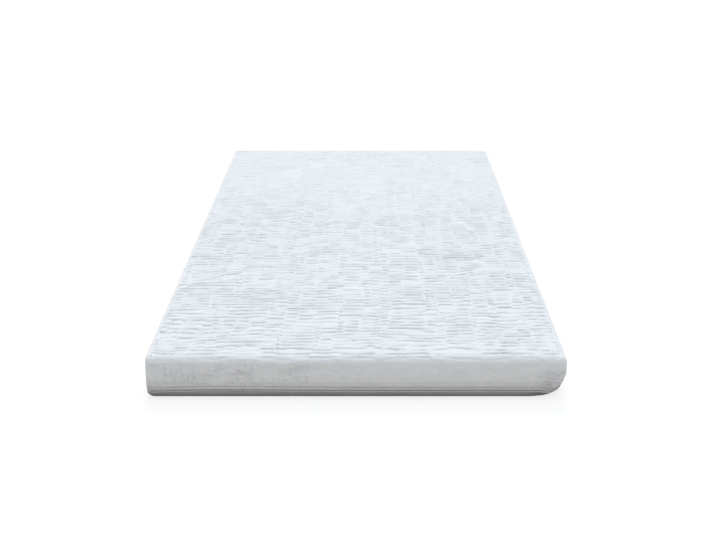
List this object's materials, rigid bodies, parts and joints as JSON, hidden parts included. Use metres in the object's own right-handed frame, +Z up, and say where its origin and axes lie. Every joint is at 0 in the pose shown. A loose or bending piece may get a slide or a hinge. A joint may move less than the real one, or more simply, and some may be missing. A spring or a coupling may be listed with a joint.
{
  "type": "mattress topper",
  "caption": "Twin-size foam mattress topper in a puckered white cover with a zip low on the border and a grey base.",
  "frame": {"origin": "centre of the flat underside, on the surface the topper lies on", "axes": "+X across the width, +Y along the length with the end nearest the picture's camera at -Y, +Z up through the thickness"},
  "size_m": [0.9914, 1.9058, 0.1088],
  "materials": {
    "cover_white": "matt white puckered knit",
    "tape_grey": "matt light grey woven tape",
    "chain_grey": "grey nylon coil",
    "base_grey": "matt dark grey knit"
  },
  "bodies": {
    "root": {"upper_cover": "cover_white", "zip_tape_upper": "tape_grey", "zip_chain": "chain_grey", "zip_tape_lower": "tape_grey", "base_cover": "base_grey"}
  },
  "joints": []
}
